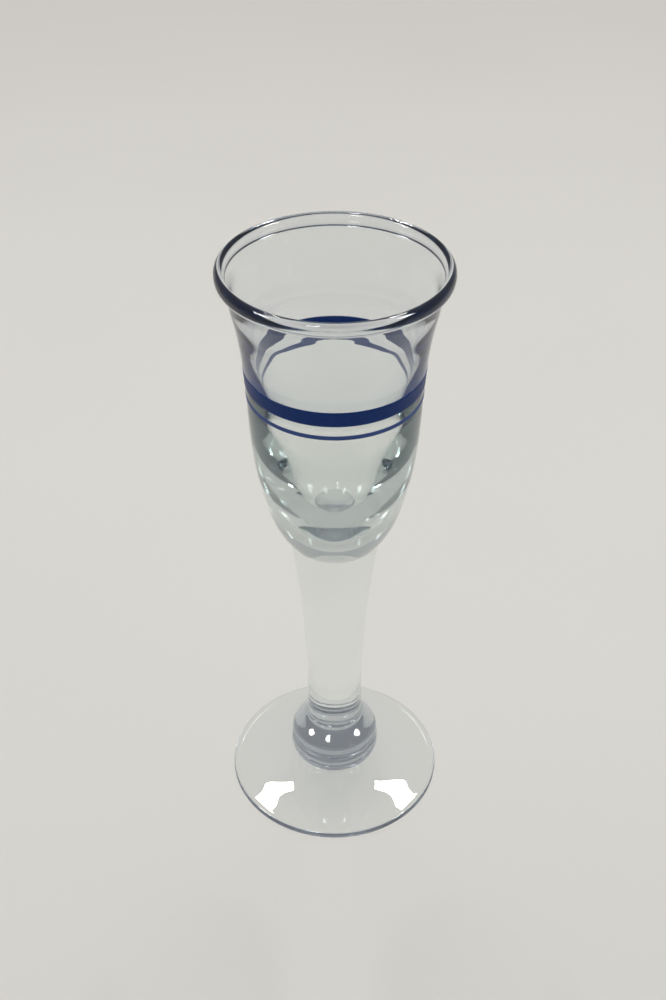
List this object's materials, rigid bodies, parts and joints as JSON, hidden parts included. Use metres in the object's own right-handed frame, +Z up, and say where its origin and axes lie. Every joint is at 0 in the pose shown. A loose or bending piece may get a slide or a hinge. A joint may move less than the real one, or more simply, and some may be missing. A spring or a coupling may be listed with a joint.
{
  "type": "schnapps glass",
  "caption": "Stemmed schnapps glass with a flared trumpet bowl, solid flaring stem, pressed ball knop, round foot and blue enamel bands round the bowl.",
  "frame": {"origin": "centre of the face that the foot stands on", "axes": "+Z up along the glass's axis of revolution, from foot to rim; the shape is the same in every direction round Z"},
  "size_m": [0.0576, 0.0576, 0.16],
  "materials": {
    "clear_glass": "polished clear glass, faintly grey-green in the thick",
    "blue_enamel": "glossy opaque cobalt blue enamel, fired on"
  },
  "bodies": {
    "root": {"foot": "clear_glass", "button": "clear_glass", "knop": "clear_glass", "neck_ring": "clear_glass", "stem": "clear_glass", "bowl": "clear_glass", "broad_band": "blue_enamel", "narrow_band": "blue_enamel"}
  },
  "joints": []
}
